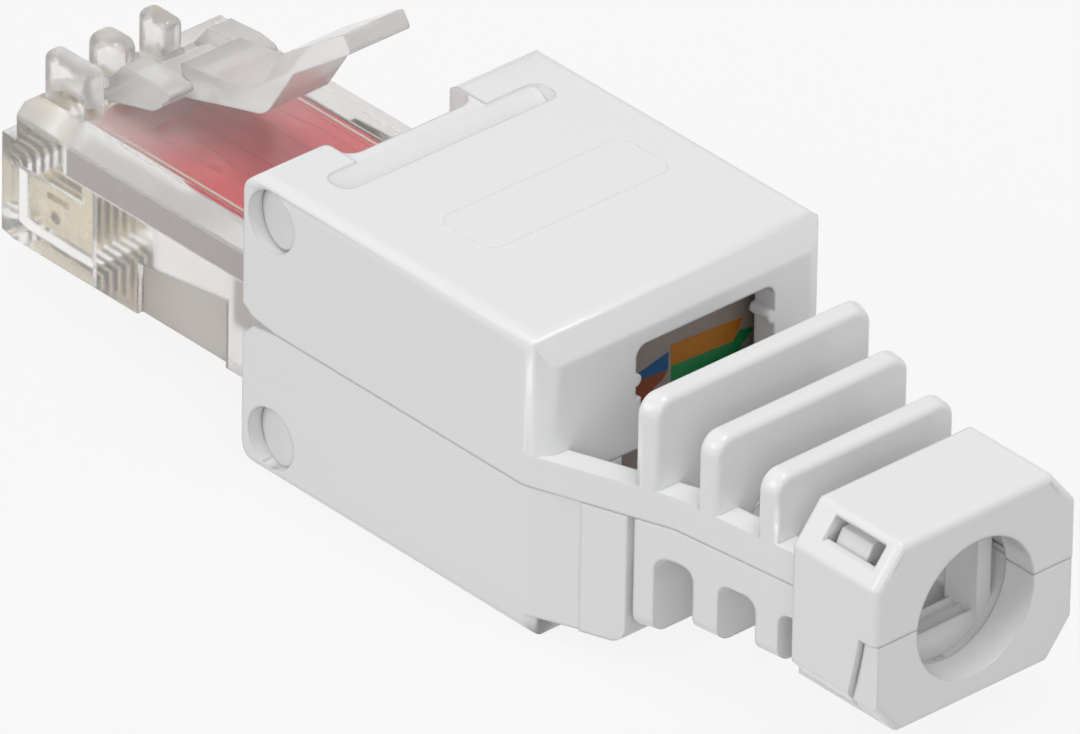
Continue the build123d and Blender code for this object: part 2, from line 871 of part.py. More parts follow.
def contact(x):
    """Blade with its stem up to the board, a slot and a round hole."""
    blade = rectangle((contact_front_y, contact_rear_y), (contact_bottom, contact_top))
    corners = [(contact_front_y, contact_bottom), (contact_front_y, contact_top)]
    blade = rounded(blade, contact_corner, *corners)
    middle = (contact_front_y + contact_rear_y) / 2
    blade -= disc(middle - contact_corner, contact_bottom + 2 * contact_corner, contact_hole_radius)
    before, after, height = contact_slit
    blade -= rectangle((middle - before, middle + after), (contact_top - 2 * height, contact_top - height))
    stem = (contact_rear_y - contact_stem_width, contact_rear_y)
    blade += rectangle(stem, (contact_top - height / 2, board_bottom - touch_gap))
    return across(blade, x - contact_thickness / 2, x + contact_thickness / 2)


def wire_places():
    first = -(wires_per_level - 1) / 2
    return [(first + number) * wire_pitch for number in range(wires_per_level)]


def terminal_places(level):
    """Middle of each terminal of one level, in two staggered rows."""
    rows = placed(block_front_y, terminal_rows)
    return [(x, rows[(number + level) % 2]) for number, x in enumerate(wire_places())]


def circuit_board():
    """Board that is wider behind the plug, with a hole for every terminal's tail."""
    plan = rectangle((-board_half_width, board_half_width), (board_front_y, board_rear_y))
    wide = cheek_inner - board_wide_margin
    plan += rectangle((-wide, wide), (plug_rear_y + board_wide_start, board_rear_y))
    for level in (0, 1):
        for x, y in terminal_places(level):
            plan -= disc(x, y, terminal_hole_radius)
    return upward(plan, board_bottom, board_top)


def mirrored_to_lower(solid):
    """The same form hung from the underside of the board."""
    return mirror(solid, Plane.XY.offset(board_mid_z))


def terminal(x, y):
    """Forked terminal that stands on the board, with a lead-in above its slit and a soldered tail."""
    low = board_top + touch_gap
    high = low + terminal_height
    half = terminal_width / 2
    fork = rectangle((x - half, x + half), (low, high))
    slit = terminal_slit / 2
    fork -= rectangle((x - slit, x + slit), (high - terminal_slit_depth, high + 1))
    lead, deep = terminal_lead_in
    fork -= outline((x - lead, high), (x, high - deep), (x + lead, high))
    tail = terminal_tail_width / 2
    tail_end = low - board_thickness * terminal_tail_share
    fork += rectangle((x - tail, x + tail), (tail_end, low + touch_gap))
    return along(fork, y - terminal_thickness / 2, y + terminal_thickness / 2)


def terminal_block(level):
    """Block with four wire channels and a slot for each terminal."""
    half_block = cheek_inner - block_side_clearance
    height = (block_low, block_low + block_height)
    solid = block((-half_block, half_block), (block_front_y, block_rear_y), height)
    for x in wire_places():
        channel = (x - wire_channel / 2, x + wire_channel / 2)
        solid -= block(channel, (0, far), (block_low + wire_channel_floor, far))
    for x, y in terminal_places(level):
        half = terminal_width / 2 + terminal_clearance
        deep = terminal_thickness / 2 + terminal_clearance
        solid -= block((x - half, x + half), (y - deep, y + deep), (0, far))
    return solid


def pivot_pin(y, z):
    """Pin on the outside of a cheek, with a ramp on its front that lets the shell snap on."""
    pin_end = half_width - pin_recess
    pin = across(disc(y, z, pivot_hole_radius - pin_clearance), cheek_outer - touch_gap, pin_end)
    ramp = outline(
        (pin_end, y + pivot_hole_radius),
        (pin_end + 1, y + pivot_hole_radius),
        (pin_end + 1, y - pivot_hole_radius),
        (pin_end - pin_ramp, y - pivot_hole_radius),
    )
    return pin - upward(ramp, z - pivot_hole_radius, z + pivot_hole_radius)


def carrier_side():
    """Cheek of the carrier with its two pins, and the key that holds the plug body."""
    shoulder_y = upper_pivot_y + carrier_shoulder
    cheek = rectangle((carrier_setback, shoulder_y), (lower_pivot_z, upper_pivot_z))
    cheek += upper_pivot_disc(cheek_tip_radius) + disc(lower_pivot_y, lower_pivot_z, cheek_tip_radius)
    high = ceiling - carrier_headroom
    cheek += rectangle((shoulder_y - carrier_shoulder / 2, carrier_rear_y), (carrier_low, high))
    key_y = (plug_groove_y + plug_clearance, plug_groove_y + plug_groove_length - plug_clearance)
    key_top = plug_top - plug_groove_cover - plug_clearance
    side = across(cheek, cheek_inner, cheek_outer)
    side += block((cheek_inner - plug_groove_depth, cheek_outer), key_y, (carrier_low, key_top))
    return side + pivot_pin(upper_pivot_y, upper_pivot_z) + pivot_pin(lower_pivot_y, lower_pivot_z)


def carrier_frame():
    """Frame with two cheeks, four pivot pins, a bulkhead over the plug and a pan under it."""
    span = (-cheek_outer, cheek_outer)
    over_plug = plug_top + plug_clearance
    bulkhead_rear = bulkhead_front_y + bulkhead_thickness
    bulkhead = block(span, (bulkhead_front_y, bulkhead_rear), (over_plug, ceiling - bulkhead_headroom))
    relief = across(upper_pivot_disc(knuckle_radius + knuckle_clearance), *span)
    between = (far_ear_edge + ear_clearance, near_ear_edge - ear_clearance)
    bulkhead -= relief - block(between, (0, far), (0, far))
    shelf_y = (bulkhead_rear - touch_gap, plug_rear_y)
    frame = both_sides(carrier_side()) + bulkhead
    frame += block(span, shelf_y, (over_plug, over_plug + shelf_thickness))
    pan_y = (plug_groove_y, carrier_rear_y)
    return frame + block(span, pan_y, (carrier_low, carrier_low + pan_thickness))


def wire_manager():
    """Rear plate with two rows of wire holes, and a sleeve in front of it."""
    plate_half = inner_half_width - plate_side_margin
    levels = (floor_top + plate_bottom_margin, ceiling - plate_top_margin)
    plate = rectangle((-plate_half, plate_half), levels)
    plate = fillet(plate.vertices(), plate_radius)
    reach = wire_row_offset - sleeve_row_margin
    half = inner_half_width - sleeve_margin
    sleeve = rectangle((-half, half), (board_mid_z - reach, board_mid_z + reach))
    half -= sleeve_wall
    reach -= sleeve_wall
    sleeve -= rectangle((-half, half), (board_mid_z - reach, board_mid_z + reach))
    manager = along(plate, manager_plate_y, manager_rear_y)
    manager += along(sleeve, manager_front_y, manager_plate_y + touch_gap)
    for x in wire_places():
        for side in (-1, 1):
            wire = disc(x, board_mid_z + side * wire_row_offset, wire_hole_radius)
            manager -= along(wire, 0, far)
    return manager


def wiring_label():
    """Thin label on the back of the wire manager, between its two rows of holes."""
    levels = (board_mid_z - label_reach, board_mid_z + label_reach)
    shape = rectangle((-label_half_width, label_half_width), levels)
    shape = fillet(shape.vertices(), label_radius)
    return along(shape, manager_rear_y + touch_gap, manager_rear_y + label_thickness)


def pieces():
    """Every piece of the plug by its name."""
    made = {
        "plug_body": plug_body(),
        "latch_lever": latch_lever(),
        "circuit_board": circuit_board(),
        "carrier_frame": carrier_frame(),
        "terminal_block_upper": terminal_block(0),
        "terminal_block_lower": mirrored_to_lower(terminal_block(1)),
        "wire_manager": wire_manager(),
        "wiring_label": wiring_label(),
        "upper_shell": upper_shell(),
        "lower_shell": lower_shell(),
    }
    for number, x in enumerate(contact_places(), start=1):
        made[f"contact_{number}"] = contact(x)
    for number, (x, y) in enumerate(terminal_places(0), start=1):
        made[f"idc_terminal_{number}"] = terminal(x, y)
    for number, (x, y) in enumerate(terminal_places(1), start=wires_per_level + 1):
        made[f"idc_terminal_{number}"] = mirrored_to_lower(terminal(x, y))
    return made


os.makedirs("parts", exist_ok=True)
for name, piece in pieces().items():
    export_step(Pos(0, whole_shift, 0) * piece, f"parts/{name}.step")
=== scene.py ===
import json
from math import asin, cos, pi, radians, sin

import bmesh
import bpy
from mathutils import Matrix, Vector

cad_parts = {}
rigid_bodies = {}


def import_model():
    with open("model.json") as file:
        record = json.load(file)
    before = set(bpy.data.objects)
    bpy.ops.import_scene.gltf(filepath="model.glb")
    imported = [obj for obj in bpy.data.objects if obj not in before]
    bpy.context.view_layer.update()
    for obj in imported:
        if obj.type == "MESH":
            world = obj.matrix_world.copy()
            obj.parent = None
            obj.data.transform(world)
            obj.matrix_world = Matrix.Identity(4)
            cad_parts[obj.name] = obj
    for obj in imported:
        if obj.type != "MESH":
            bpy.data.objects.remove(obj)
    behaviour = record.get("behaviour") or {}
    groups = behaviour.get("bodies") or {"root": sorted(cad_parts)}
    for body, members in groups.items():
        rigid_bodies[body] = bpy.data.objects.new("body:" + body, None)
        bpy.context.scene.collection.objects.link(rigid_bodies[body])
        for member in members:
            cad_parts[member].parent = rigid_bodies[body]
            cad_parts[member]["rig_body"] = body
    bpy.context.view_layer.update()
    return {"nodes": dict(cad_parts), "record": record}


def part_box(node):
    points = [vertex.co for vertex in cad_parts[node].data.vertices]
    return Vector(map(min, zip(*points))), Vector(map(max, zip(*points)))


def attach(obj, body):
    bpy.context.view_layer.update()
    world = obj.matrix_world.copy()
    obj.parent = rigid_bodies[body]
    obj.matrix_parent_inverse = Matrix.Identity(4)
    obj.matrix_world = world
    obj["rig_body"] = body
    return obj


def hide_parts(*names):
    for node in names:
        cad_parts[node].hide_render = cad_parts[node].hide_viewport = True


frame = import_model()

mm = 0.001
housingFront = -9.08    # front face of the housing along the plug, in mm


def alongPlug(y):    # from mm behind the housing's front face to metres in the frame
    return (y + housingFront) * mm


# finishes

noiseRange = (0.15, 0.85)    # where nearly all of a noise lies
edgeSamples = 6    # rays that the shading of an edge is averaged over
mixFirst, mixSecond, mixResult = 6, 7, 2    # colour sockets of a mix node


def newMaterial(name):
    mat = bpy.data.materials.new(name)
    mat.use_nodes = True
    return mat, mat.node_tree, mat.node_tree.nodes["Principled BSDF"]


def addNode(tree, kind, settings=None, **inputs):
    node = tree.nodes.new(kind)
    for key, value in (settings or {}).items():
        setattr(node, key, value)
    for key, value in inputs.items():
        node.inputs[key.replace("_", " ")].default_value = value
    return node


def objectNoise(tree, scale, detail, roughness=0.5):
    coord = addNode(tree, "ShaderNodeTexCoord")
    noise = addNode(tree, "ShaderNodeTexNoise", Scale=scale, Detail=detail, Roughness=roughness)
    tree.links.new(coord.outputs["Object"], noise.inputs["Vector"])
    return noise


# eases from low to high as the value goes from start to end
def spreadOver(tree, value, start, end, low, high):
    spread = addNode(tree, "ShaderNodeMapRange", {"interpolation_type": "SMOOTHSTEP"},
                     From_Min=start, From_Max=end, To_Min=low, To_Max=high)
    tree.links.new(value, spread.inputs["Value"])
    return spread.outputs["Result"]


def varied(tree, noise, low, high):
    return spreadOver(tree, noise.outputs["Fac"], *noiseRange, low, high)


# edge is the radius that sharp edges are shaded with
def bumped(tree, shader, noise, strength, distance, edge=0.0):
    bump = addNode(tree, "ShaderNodeBump", Strength=strength, Distance=distance)
    tree.links.new(noise.outputs["Fac"], bump.inputs["Height"])
    if edge:
        soft = addNode(tree, "ShaderNodeBevel", {"samples": edgeSamples}, Radius=edge)
        tree.links.new(soft.outputs["Normal"], bump.inputs["Normal"])
    tree.links.new(bump.outputs["Normal"], shader.inputs["Normal"])


def colourBetween(tree, noise, first, second):
    mix = addNode(tree, "ShaderNodeMix", {"data_type": "RGBA"})
    tree.links.new(varied(tree, noise, 0.0, 1.0), mix.inputs["Factor"])
    mix.inputs[mixFirst].default_value = (*first, 1)
    mix.inputs[mixSecond].default_value = (*second, 1)
    return mix.outputs[mixResult]


def mottled(tree, shader, noise, first, second, gloss):    # colour and gloss go together
    colour = colourBetween(tree, noise, first, second)
    tree.links.new(colour, shader.inputs["Base Color"])
    tree.links.new(varied(tree, noise, *gloss), shader.inputs["Roughness"])


shellFinish = {
    "colour": (0.87, 0.873, 0.876), "shade": (0.858, 0.862, 0.866), "ior": 1.5,
    "gloss": (0.15, 0.19), "flow": 120.0, "grain": 5200.0, "grainStrength": 0.25,
    "grainDepth": 0.0012 * mm, "edge": 0.18 * mm,
}


def whitePlastic(name, spec):
    mat, tree, shader = newMaterial(name)
    flow = objectNoise(tree, spec["flow"], detail=1.0)
    mottled(tree, shader, flow, spec["colour"], spec["shade"], spec["gloss"])
    shader.inputs["IOR"].default_value = spec["ior"]
    grain = objectNoise(tree, spec["grain"], detail=2.0)
    bumped(tree, shader, grain, spec["grainStrength"], spec["grainDepth"], spec["edge"])
    return mat


clearFinish = {
    "colour": (0.96, 0.95, 0.94), "transmission": 0.6, "ior": 1.46, "gloss": (0.1, 0.2),
    "flow": 320.0, "waves": 700.0, "waveStrength": 0.3, "waveDepth": 0.01 * mm, "edge": 0.12 * mm,
}
# the nose is clear over the board and milky along its top edges and towards its front
hazeSpec = {
    "side": (4.5 * mm, 4.85 * mm), "front": (-13.0 * mm, -23.0 * mm),
    "rise": (7.7 * mm, 8.3 * mm), "fall": (9.0 * mm, 9.5 * mm), "finShare": 0.75,
    "wallShare": 0.43, "frontShare": 0.6, "transmission": (0.95, 0.52), "roughness": (0.06, 0.28),
}


def worked(tree, operation, *values):
    step = addNode(tree, "ShaderNodeMath", {"operation": operation})
    for number, value in enumerate(values):
        if isinstance(value, float):
            step.inputs[number].default_value = value
        else:
            tree.links.new(value, step.inputs[number])
    return step.outputs[0]


def hazed(tree, shader, spec):
    coord = addNode(tree, "ShaderNodeTexCoord")
    parts = addNode(tree, "ShaderNodeSeparateXYZ")
    tree.links.new(coord.outputs["Object"], parts.inputs["Vector"])
    aside = worked(tree, "ABSOLUTE", parts.outputs["X"])
    side = spreadOver(tree, aside, *spec["side"], 0.0, 1.0)
    front = spreadOver(tree, parts.outputs["Y"], *spec["front"], 0.0, spec["frontShare"])
    rise = spreadOver(tree, parts.outputs["Z"], *spec["rise"], 0.0, 1.0)
    fall = spreadOver(tree, parts.outputs["Z"], *spec["fall"], 1.0, spec["finShare"])
    height = worked(tree, "MULTIPLY", rise, fall)
    wall = worked(tree, "MULTIPLY", side, worked(tree, "MAXIMUM", height, spec["wallShare"]))
    haze = worked(tree, "MAXIMUM", wall, worked(tree, "MULTIPLY", front, height))
    for label, key in (("Transmission Weight", "transmission"), ("Roughness", "roughness")):
        tree.links.new(spreadOver(tree, haze, 0.0, 1.0, *spec[key]), shader.inputs[label])


def clearPlastic(name, spec, haze=None):
    mat, tree, shader = newMaterial(name)
    shader.inputs["Base Color"].default_value = (*spec["colour"], 1)
    shader.inputs["IOR"].default_value = spec["ior"]
    if haze:
        hazed(tree, shader, haze)
    else:
        shader.inputs["Transmission Weight"].default_value = spec["transmission"]
        flow = objectNoise(tree, spec["flow"], detail=2.0)
        tree.links.new(varied(tree, flow, *spec["gloss"]), shader.inputs["Roughness"])
    waves = objectNoise(tree, spec["waves"], detail=1.0)
    bumped(tree, shader, waves, spec["waveStrength"], spec["waveDepth"], spec["edge"])
    return mat


boardFinish = {
    "mask": (0.95, 0.06, 0.08), "maskDark": (0.82, 0.04, 0.06), "gloss": (0.25, 0.4),
    "patch": 500.0, "weave": 3800.0, "weaveStrength": 0.4, "weaveDepth": 0.01 * mm,
}


def boardMask(name, spec):
    mat, tree, shader = newMaterial(name)
    patch = objectNoise(tree, spec["patch"], detail=3.0, roughness=0.6)
    mottled(tree, shader, patch, spec["mask"], spec["maskDark"], spec["gloss"])
    weave = objectNoise(tree, spec["weave"], detail=2.0)
    bumped(tree, shader, weave, spec["weaveStrength"], spec["weaveDepth"])
    return mat


platingFinish = {"finer": 4.0, "strength": 0.3, "depth": 0.004 * mm}


def plated(name, colour, tone, gloss, drag, spec=platingFinish):
    mat, tree, shader = newMaterial(name)
    wear = objectNoise(tree, drag, detail=4.0, roughness=0.6)
    mottled(tree, shader, wear, colour, tone, gloss)
    shader.inputs["Metallic"].default_value = 1.0
    scratches = objectNoise(tree, drag * spec["finer"], detail=2.0)
    bumped(tree, shader, scratches, spec["strength"], spec["depth"])
    return mat


printFinish = {"fibre": 2600.0, "gloss": (0.4, 0.55), "strength": 0.3, "depth": 0.006 * mm}


def printed(name, colour, tone, spec=printFinish):
    mat, tree, shader = newMaterial(name)
    fibre = objectNoise(tree, spec["fibre"], detail=4.0, roughness=0.6)
    mottled(tree, shader, fibre, colour, tone, spec["gloss"])
    bumped(tree, shader, fibre, spec["strength"], spec["depth"])
    return mat


shellWhite = whitePlastic("shellWhite", shellFinish)
frameWhite = whitePlastic("frameWhite", {
    **shellFinish, "colour": (0.78, 0.785, 0.785), "gloss": (0.32, 0.38)})
# the wire manager's colour is darkened and warmed to paint the shade inside the housing
managerPaintedShade = whitePlastic("managerPaintedShade", {
    **shellFinish, "colour": (0.42, 0.375, 0.345), "shade": (0.38, 0.335, 0.305),
    "gloss": (0.45, 0.55)})
clearBody = clearPlastic("clearBody", clearFinish, hazeSpec)
clearLatch = clearPlastic("clearLatch", clearFinish)
frostedGrey = clearPlastic("frostedGrey", {
    **clearFinish, "colour": (0.66, 0.62, 0.58), "transmission": 0.3, "gloss": (0.45, 0.55)})
slotWall = clearPlastic("slotWall", {
    **clearFinish, "transmission": 1.0, "ior": 1.03, "gloss": (0.02, 0.05)})
# colour of a dark sheet that paints the shade seen through the nose's side wall
paintedShadeSheet = printed("paintedShadeSheet", (0.42, 0.35, 0.34), (0.36, 0.3, 0.29))
# cream colour that paints the highlight seen along each edge of the board's cavity
paintedHighlightEdge = printed("paintedHighlightEdge", (0.95, 0.87, 0.77), (0.92, 0.82, 0.7))
redMask = boardMask("redMask", boardFinish)
redTrace = boardMask("redTrace", {
    **boardFinish, "mask": (0.84, 0.04, 0.055), "maskDark": (0.74, 0.03, 0.045)})
goldPlate = plated("goldPlate", (0.93, 0.85, 0.62), (0.88, 0.77, 0.52), (0.22, 0.36), 1500.0)
tinPlate = plated("tinPlate", (0.74, 0.73, 0.7), (0.64, 0.63, 0.61), (0.3, 0.45), 1800.0)
labelPaper = printed("labelPaper", (0.36, 0.3, 0.27), (0.32, 0.27, 0.24))
print("finishes ready")


# pieces carried over from the frame

nodeSlots = {subpart["node"]: subpart["material_slot"] for subpart in frame["record"]["subparts"]}
slotFinish = {
    "shell_white": shellWhite, "frame_white": frameWhite, "manager_grey": managerPaintedShade,
    "clear_plastic": clearBody, "board_red": redMask, "contact_gold": goldPlate,
    "terminal_tin": tinPlate, "label_print": labelPaper,
}
for node, slotName in nodeSlots.items():
    nodeMaterials = frame["nodes"][node].data.materials
    nodeMaterials.clear()
    nodeMaterials.append(slotFinish[slotName])


def sceneObject(name, data):
    piece = bpy.data.objects.new(name, data)
    bpy.context.scene.collection.objects.link(piece)
    return piece


def settle(piece):    # modifiers into a plain mesh
    graph = bpy.context.evaluated_depsgraph_get()
    mesh = bpy.data.meshes.new_from_object(piece.evaluated_get(graph))
    piece.modifiers.clear()
    old = piece.data
    piece.data = mesh
    bpy.data.meshes.remove(old)


def rectangle(xs, zs):
    return [(xs[0], zs[0]), (xs[1], zs[0]), (xs[1], zs[1]), (xs[0], zs[1])]


# each prism is an outline of (x, z) corners in mm, its two y in metres and its finish's number
def prismMesh(name, prisms):
    bm = bmesh.new()
    for outline, ys, number in prisms:
        front, back = [[bm.verts.new((x * mm, y, z * mm)) for x, z in outline] for y in ys]
        faces = [bm.faces.new(front), bm.faces.new(back)]
        for index in range(len(outline)):
            after = (index + 1) % len(outline)
            faces.append(bm.faces.new((front[index], front[after], back[after], back[index])))
        for face in faces:
            face.material_index = number
    bmesh.ops.recalc_face_normals(bm, faces=bm.faces)
    mesh = bpy.data.meshes.new(name)
    bm.to_mesh(mesh)
    bm.free()
    return mesh


# the far end of the rear window is open further down, and two fins close over the cable
windowDrop = {"x": (-4.9, -2.3), "z": (7.9, 9.55), "y": (16.95, 18.3)}
finWebs = {
    "fronts": (24.85, 28.0), "thickness": 1.05, "centre": 6.8, "radius": 3.7, "low": 9.1, "steps": 24,
}


def windowCut(spec):
    ys = [alongPlug(y) for y in spec["y"]]
    return "DIFFERENCE", prismMesh("window_drop", [(rectangle(spec["x"], spec["z"]), ys, 0)])


def finWeb(spec, front):
    radius, centre, steps = spec["radius"], spec["centre"], spec["steps"]
    start = asin((spec["low"] - centre) / radius)
    angles = [start + (pi - 2 * start) * step / steps for step in range(steps + 1)]
    outline = [(radius * cos(angle), centre + radius * sin(angle)) for angle in angles]
    ys = (alongPlug(front), alongPlug(front + spec["thickness"]))
    return "UNION", prismMesh("fin_web", [(outline, ys, 0)])


def reshaped(mesh, changes):
    piece = sceneObject("reshaped", mesh)
    for operation, toolMesh in changes:
        tool = sceneObject("tool", toolMesh)
        step = piece.modifiers.new(operation, "BOOLEAN")
        step.operation = operation
        step.solver = "EXACT"
        step.object = tool
        settle(piece)
        bpy.data.objects.remove(tool)
    result = piece.data.copy()
    bpy.data.objects.remove(piece)
    return result


smoothing = {"merge": 0.002 * mm, "flat": radians(0.6), "sharp": radians(32)}


def smoothed(node, mat, changes=()):    # the node's shape as one surface, smooth over its curves
    name = node + "_finished"
    bm = bmesh.new()
    bm.from_mesh(frame["nodes"][node].data)
    bmesh.ops.remove_doubles(bm, verts=bm.verts, dist=smoothing["merge"])
    bmesh.ops.dissolve_limit(bm, angle_limit=smoothing["flat"], verts=bm.verts, edges=bm.edges)
    mesh = bpy.data.meshes.new(name)
    bm.to_mesh(mesh)
    bm.free()
    piece = sceneObject(name, reshaped(mesh, changes) if changes else mesh)
    piece.data.shade_smooth()
    piece.data.set_sharp_from_angle(angle=smoothing["sharp"])
    weighted = piece.modifiers.new("weighted", "WEIGHTED_NORMAL")
    weighted.keep_sharp = True
    settle(piece)
    piece.data.materials.clear()
    piece.data.materials.append(mat)
    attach(piece, frame["nodes"][node]["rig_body"])
    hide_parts(node)
    return piece


shellChanges = [windowCut(windowDrop)] + [finWeb(finWebs, front) for front in finWebs["fronts"]]
smoothed("upper_shell", shellWhite, shellChanges)
plugBody = smoothed("plug_body", clearBody)
smoothed("lower_shell", shellWhite)
smoothed("latch_lever", clearLatch)
smoothed("carrier_frame", frameWhite)
print("shells, nose, latch and carrier smoothed")


frostSpec = {
    "recessDepth": 0.3 * mm, "slack": 0.02 * mm, "straight": 0.99,
    "slotWidth": 0.5 * mm, "slotReach": 3.2 * mm, "slotRear": -21.5 * mm, "slotTop": 8.3 * mm,
}


# the floor of the recess in each side is frosted, and the inner contacts' slots hardly show
def frosted(piece, spec):
    mesh = piece.data
    mesh.materials.append(frostedGrey)
    mesh.materials.append(slotWall)
    recessNumber, slotNumber = 1, 2    # their places after the body's own finish
    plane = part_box("plug_body")[1].x - spec["recessDepth"]
    for face in mesh.polygons:
        aside = abs(face.center.x)
        across = [mesh.vertices[index].co.x for index in face.vertices]
        narrow = max(across) - min(across) < spec["slotWidth"]
        inSlot = face.center.y < spec["slotRear"] and face.center.z < spec["slotTop"]
        if abs(face.normal.x) > spec["straight"] and abs(aside - plane) < spec["slack"]:
            face.material_index = recessNumber
        elif inSlot and narrow and aside < spec["slotReach"]:
            face.material_index = slotNumber


frosted(plugBody, frostSpec)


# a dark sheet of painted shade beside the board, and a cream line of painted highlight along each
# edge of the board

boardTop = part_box("circuit_board")[1].z / mm
stripSpec = {
    # a dark sheet inside each wall of the cavity, painting the shade seen through the wall
    "cavity_painted_shade": {
        "x": (4.115, 4.145), "y": (-14.4, 0.0), "z": (6.0, 8.05),
        "finish": paintedShadeSheet, "slot": "clear_plastic",
    },
    # a cream strip on each edge of the board, painting the highlight along the cavity's edge
    "board_painted_highlight_edges": {
        "x": (3.77, 3.89), "y": (-14.0, 4.0), "z": (boardTop - 0.02, boardTop + 0.05),
        "finish": paintedHighlightEdge, "slot": "board_red",
    },
}


def makeStrips(name, spec):    # one on each side of the plug
    ys = [alongPlug(y) for y in spec["y"]]
    outlines = [rectangle([side * x for x in spec["x"]], spec["z"]) for side in (1, -1)]
    piece = sceneObject(name, prismMesh(name, [(outline, ys, 0) for outline in outlines]))
    piece.data.materials.append(spec["finish"])
    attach(piece, "plug")


for name, spec in stripSpec.items():
    makeStrips(name, spec)
print("nose details ready")


# colour fields of the label, as they show behind the rear window: colour and (x, z) corners in mm

labelSpec = {
    "sunk": 0.005, "proud": 0.01, "shade": 0.85,
    "fields": {
        "blueField": ((0.008, 0.11, 0.3), [
            (-0.8, 9.5), (0.62, 9.17), (1.6, 9.0), (1.6, 8.85), (0.6, 8.77), (-0.8, 8.64)]),
        "brownField": ((0.3, 0.06, 0.012), [
            (-0.8, 8.62), (0.6, 8.75), (1.6, 8.83), (1.6, 7.6), (0.4, 7.6), (-0.1, 8.11),
            (-0.48, 8.27)]),
        "orangeField": ((0.54, 0.19, 0.004), [
            (-0.94, 9.77), (-4.5, 9.58), (-4.94, 9.5), (-4.4, 8.58), (-0.96, 8.75)]),
        "greenField": ((0.012, 0.27, 0.08), [
            (-0.96, 8.73), (-4.35, 8.56), (-4.75, 8.95), (-5.64, 8.8), (-4.89, 8.24), (-4.6, 7.6),
            (-0.96, 7.6)]),
        "paleBlueField": ((0.35, 0.45, 0.62), rectangle((4.9, 1.6), (7.2, 6.0))),
        "paleBrownField": ((0.45, 0.3, 0.22), rectangle((1.4, -1.0), (7.2, 6.0))),
        "paleGreenField": ((0.3, 0.5, 0.34), rectangle((-1.2, -4.9), (7.2, 6.0))),
    },
}


def makeLabelFields(spec):
    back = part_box("wiring_label")[1].y
    ys = (back - spec["sunk"] * mm, back + spec["proud"] * mm)
    fields = spec["fields"]
    prisms = [(corners, ys, number) for number, (colour, corners) in enumerate(fields.values())]
    piece = sceneObject("label_fields", prismMesh("label_fields", prisms))
    for name, (colour, corners) in fields.items():
        darker = tuple(spec["shade"] * value for value in colour)
        piece.data.materials.append(printed(name, colour, darker))
    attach(piece, frame["nodes"]["wiring_label"]["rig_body"])


makeLabelFields(labelSpec)
print("label ready")


# raised frame line on the roof

roofFrameSpec = {
    "Width": 10.1 * mm, "Depth": 3.3 * mm, "Corner": 0.7 * mm, "Line Radius": 0.1 * mm,
    "middle": (-0.45, 9.7), "proud": 0.02, "cornerSteps": 8, "lineSides": 12,
}


def geometryTree(name, inputs):
    tree = bpy.data.node_groups.new(name, "GeometryNodeTree")
    for label, kind in inputs.items():
        tree.interface.new_socket(label, in_out="INPUT", socket_type=kind)
    tree.interface.new_socket("Geometry", in_out="OUTPUT", socket_type="NodeSocketGeometry")
    return tree, addNode(tree, "NodeGroupInput"), addNode(tree, "NodeGroupOutput")


def endTree(tree, geometry, source, output):
    real = addNode(tree, "GeometryNodeRealizeInstances")
    finish = addNode(tree, "GeometryNodeSetMaterial")
    tree.links.new(geometry, real.inputs["Geometry"])
    tree.links.new(real.outputs["Geometry"], finish.inputs["Geometry"])
    tree.links.new(source.outputs["Material"], finish.inputs["Material"])
    tree.links.new(finish.outputs["Geometry"], output.inputs["Geometry"])


# runs a tree on a new object and keeps its plain mesh
def growTree(name, tree, values, mesh=None):
    piece = sceneObject(name, mesh or bpy.data.meshes.new(name))
    modifier = piece.modifiers.new("nodes", "NODES")
    modifier.node_group = tree
    for item in tree.interface.items_tree:
        if item.in_out == "INPUT" and item.name in values:
            modifier[item.identifier] = values[item.name]
    settle(piece)
    return piece


def makeRoofFrame(spec):
    inputs = dict.fromkeys(["Width", "Depth", "Corner", "Line Radius"], "NodeSocketFloat")
    inputs.update({"Place": "NodeSocketVector", "Material": "NodeSocketMaterial"})
    tree, source, output = geometryTree("roofFrame", inputs)
    outline = addNode(tree, "GeometryNodeCurvePrimitiveQuadrilateral")
    corners = addNode(tree, "GeometryNodeFilletCurve", {"mode": "POLY"}, Count=spec["cornerSteps"])
    line = addNode(tree, "GeometryNodeCurvePrimitiveCircle", Resolution=spec["lineSides"])
    sweep = addNode(tree, "GeometryNodeCurveToMesh")
    place = addNode(tree, "GeometryNodeTransform")
    link = tree.links.new
    link(source.outputs["Width"], outline.inputs["Width"])
    link(source.outputs["Depth"], outline.inputs["Height"])
    link(outline.outputs["Curve"], corners.inputs["Curve"])
    link(source.outputs["Corner"], corners.inputs["Radius"])
    link(source.outputs["Line Radius"], line.inputs["Radius"])
    link(corners.outputs["Curve"], sweep.inputs["Curve"])
    link(line.outputs["Curve"], sweep.inputs["Profile Curve"])
    link(sweep.outputs["Mesh"], place.inputs["Geometry"])
    link(source.outputs["Place"], place.inputs["Translation"])
    endTree(tree, place.outputs["Geometry"], source, output)
    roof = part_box("upper_shell")[1].z
    height = roof + spec["proud"] * mm - spec["Line Radius"]
    x, y = spec["middle"]
    values = {**spec, "Place": (x * mm, alongPlug(y), height), "Material": shellWhite}
    piece = growTree("roof_frame", tree, values)
    piece.data.shade_smooth()
    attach(piece, "upper_cover")


makeRoofFrame(roofFrameSpec)
print("roof frame ready")


# copper under the board's mask, from the contacts back to the terminals

traceSpec = {
    "count": 8, "pitch": 1.02, "fan": 1.16,
    "start": -13.9, "straight": -10.5, "spread": -7.5, "end": 4.0,
    "Line Radius": 0.13 * mm, "proud": 0.035, "lineSides": 6,
}


